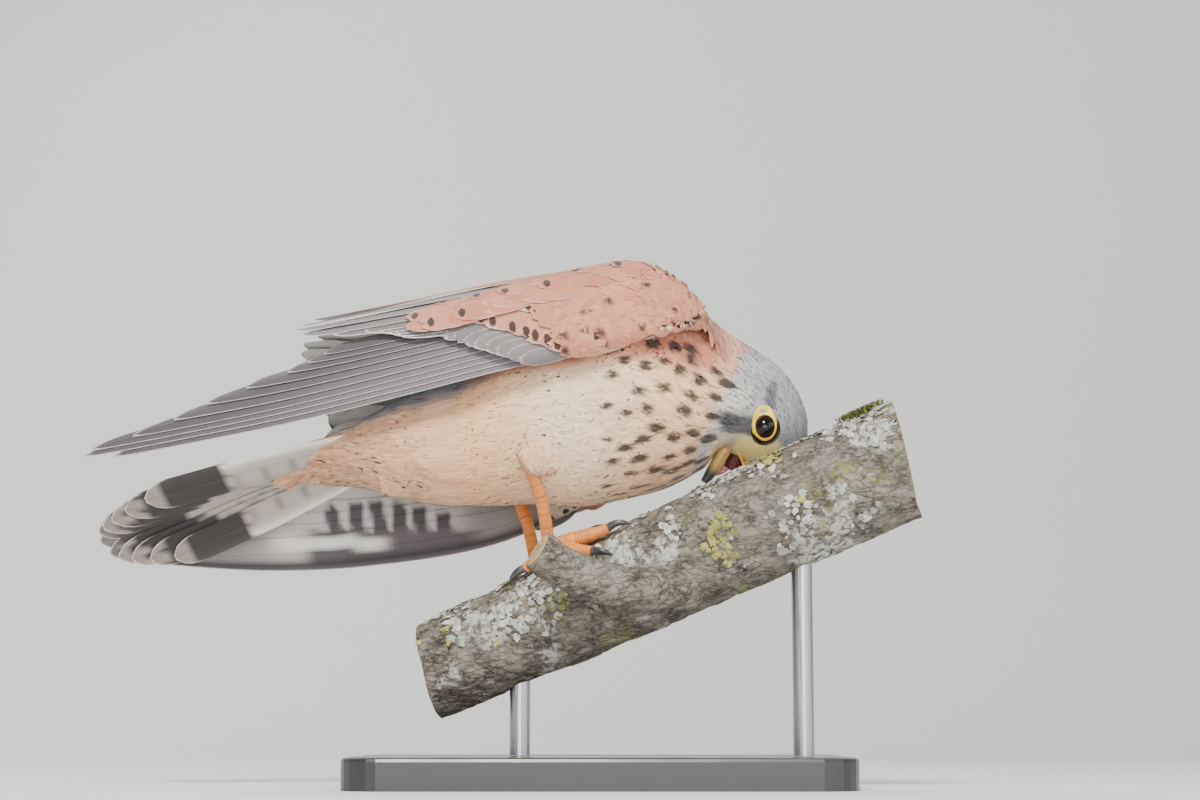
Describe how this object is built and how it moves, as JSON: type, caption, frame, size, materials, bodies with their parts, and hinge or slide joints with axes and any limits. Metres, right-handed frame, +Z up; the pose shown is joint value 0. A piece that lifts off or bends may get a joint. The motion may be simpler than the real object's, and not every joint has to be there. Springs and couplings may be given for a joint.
{
  "type": "common kestrel",
  "caption": "Life-size male kestrel model feeding head down on a cut length of sloping branch, held by two rods on a flat base.",
  "frame": {"origin": "centre of the underside of the stand's base", "axes": "+X from the bird's tail to its head, +Y towards the bird's left side, +Z up"},
  "size_m": [0.3211, 0.12, 0.204],
  "materials": {
    "grey_plumage": "soft blue-grey feathers",
    "buff_plumage": "soft buff feathers with dark spots",
    "chestnut_plumage": "soft chestnut feathers with black spots",
    "dark_plumage": "dark grey-brown flight feathers with pale edges",
    "yellow_skin": "satin yellow bare skin",
    "orange_skin": "scaly orange-yellow skin",
    "horn": "polished dark horn",
    "eye": "wet gloss",
    "bark": "rough bark with lichen",
    "stand_lacquer": "satin black lacquer",
    "stand_metal": "brushed"
  },
  "bodies": {
    "root": {"head": "grey_plumage", "neck": "buff_plumage", "torso": "buff_plumage", "thigh_right": "buff_plumage", "thigh_left": "buff_plumage", "wing_right_coverts": "chestnut_plumage", "wing_left_coverts": "chestnut_plumage", "wing_right_primaries": "dark_plumage", "wing_left_primaries": "dark_plumage", "wing_right_secondaries": "dark_plumage", "wing_left_secondaries": "dark_plumage", "tail": "grey_plumage", "cere": "yellow_skin", "bill_upper": "horn", "bill_lower": "horn", "eye_right": "eye", "eye_left": "eye", "tarsus_right": "orange_skin", "tarsus_left": "orange_skin", "foot_right": "orange_skin", "foot_left": "orange_skin", "claw_right_middle": "horn", "claw_right_inner": "horn", "claw_right_outer": "horn", "claw_right_hind": "horn", "claw_left_middle": "horn", "claw_left_inner": "horn", "claw_left_outer": "horn", "claw_left_hind": "horn", "perch": "bark", "stand_base": "stand_lacquer", "stand_rod_low": "stand_metal", "stand_rod_high": "stand_metal"}
  },
  "joints": []
}
